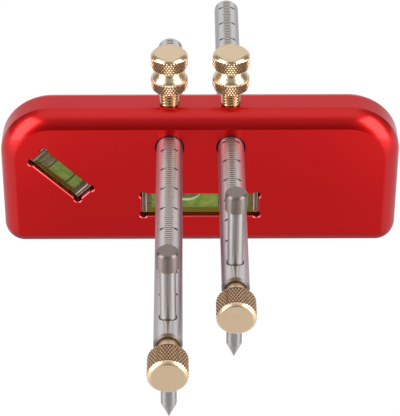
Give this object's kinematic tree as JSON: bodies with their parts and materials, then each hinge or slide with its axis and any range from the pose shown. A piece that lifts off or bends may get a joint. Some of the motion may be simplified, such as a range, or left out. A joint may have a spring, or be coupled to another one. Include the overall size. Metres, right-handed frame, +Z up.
{
  "type": "marking gauge",
  "caption": "Woodworking marking gauge: an anodised fence with spirit levels, and graduated steel rods that slide through it and carry scribe pins, held by knurled brass screws.",
  "frame": {"origin": "middle of the fence's base, on the surface that it stands on", "axes": "+X along the fence, -Y from the fence towards the scribe pins, +Z up"},
  "size_m": [0.1238, 0.191, 0.0679],
  "materials": {
    "red_anodised": "bright red anodised, satin faces and a glossy rim",
    "rod_steel": "ground, with etched dark scale marks",
    "pin_steel": "polished, with a satin head",
    "brass": "turned, with a diamond knurl on the grips",
    "clear_acrylic": "clear and polished",
    "green_liquid": "clear yellow-green tint",
    "air": "clear",
    "black_line": "printed black"
  },
  "bodies": {
    "fence": {"fence_body": "red_anodised", "level_block": "clear_acrylic", "level_left_cap": "clear_acrylic", "level_right_cap": "clear_acrylic", "level_liquid": "green_liquid", "level_rings": "black_line", "angle_block": "clear_acrylic", "angle_upper_cap": "clear_acrylic", "angle_lower_cap": "clear_acrylic", "angle_liquid": "green_liquid", "angle_rings": "black_line"},
    "left_rod": {"left_rod": "rod_steel"},
    "right_rod": {"right_rod": "rod_steel"},
    "left_lock_screw": {"left_lock_screw": "brass"},
    "right_lock_screw": {"right_lock_screw": "brass"},
    "left_pin": {"left_scribe_pin": "pin_steel"},
    "right_pin": {"right_scribe_pin": "pin_steel"},
    "left_pin_screw": {"left_pin_screw": "brass"},
    "right_pin_screw": {"right_pin_screw": "brass"},
    "level_bubble": {"level_bubble": "air"},
    "angle_bubble": {"angle_bubble": "air"}
  },
  "joints": [
    {"name": "left_rod_slide", "type": "slide", "parent": "fence", "child": "left_rod", "axis": [0, -1, 0], "range_m": [-0.0828, 0.04]},
    {"name": "right_rod_slide", "type": "slide", "parent": "fence", "child": "right_rod", "axis": [0, -1, 0], "range_m": [-0.0584, 0.065]},
    {"name": "left_pin_slide", "type": "slide", "parent": "left_rod", "child": "left_pin", "axis": [0, 0, 1], "range_m": [-0.0163, 0.022]},
    {"name": "right_pin_slide", "type": "slide", "parent": "right_rod", "child": "right_pin", "axis": [0, 0, 1], "range_m": [-0.0179, 0.0205]},
    {"name": "left_lock_turn", "type": "hinge", "parent": "fence", "child": "left_lock_screw", "pos_m": [-0.00945, 0, 0.0497], "axis": [0, 0, 1], "range_deg": [0, 360]},
    {"name": "right_lock_turn", "type": "hinge", "parent": "fence", "child": "right_lock_screw", "pos_m": [0.00945, 0, 0.0497], "axis": [0, 0, 1], "range_deg": [0, 360]},
    {"name": "left_clamp_turn", "type": "hinge", "parent": "left_rod", "child": "left_pin_screw", "pos_m": [-0.00945, -0.1034, 0.0383], "axis": [0, -1, 0], "range_deg": [0, 360]},
    {"name": "right_clamp_turn", "type": "hinge", "parent": "right_rod", "child": "right_pin_screw", "pos_m": [0.00945, -0.079, 0.0383], "axis": [0, -1, 0], "range_deg": [0, 360]},
    {"name": "level_bubble_run", "type": "slide", "parent": "fence", "child": "level_bubble", "axis": [1, 0, 0], "range_m": [-0.0055, 0.0145], "stiffness_N_per_m": 0.5},
    {"name": "angle_bubble_run", "type": "slide", "parent": "fence", "child": "angle_bubble", "axis": [0.7071, 0, -0.7071], "range_m": [0, 0.0111], "stiffness_N_per_m": 0.5, "springref_m": -0.006}
  ]
}
